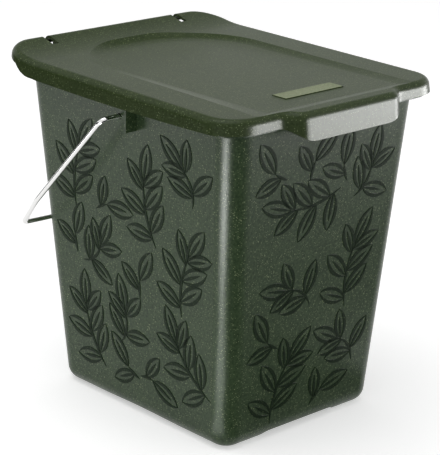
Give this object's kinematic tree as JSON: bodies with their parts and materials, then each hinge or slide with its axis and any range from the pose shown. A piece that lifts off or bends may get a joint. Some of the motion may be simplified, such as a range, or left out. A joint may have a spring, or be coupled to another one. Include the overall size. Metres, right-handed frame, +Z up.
{
  "type": "compost caddy",
  "caption": "Tapered kitchen compost caddy with a hinged lid, a finger grip on the lid's front and a swinging wire bail.",
  "frame": {"origin": "centre of the whole object's outline in plan, at the level the feet stand on", "axes": "+Z up, -Y towards the lid's finger grip (front), +Y towards the hinge, X along the hinge and the bail's axis"},
  "size_m": [0.2064, 0.2488, 0.247],
  "materials": {
    "bucket_plastic": "dark green moulded plastic with fine light flecks and low leaf relief on the walls",
    "lid_plastic": "dark grey-green moulded plastic, satin",
    "bail_wire": "bright plated steel wire"
  },
  "bodies": {
    "bucket": {"bucket": "bucket_plastic"},
    "lid": {"lid": "lid_plastic"},
    "bail": {"bail": "bail_wire"}
  },
  "joints": [
    {"name": "lid_hinge", "type": "hinge", "parent": "bucket", "child": "lid", "pos_m": [0, 0.1109, 0.2365], "axis": [-1, 0, 0], "range_deg": [0, 110]},
    {"name": "bail_swing", "type": "hinge", "parent": "bucket", "child": "bail", "pos_m": [0, 0.0065, 0.217], "axis": [1, 0, 0], "range_deg": [0, 264]}
  ]
}
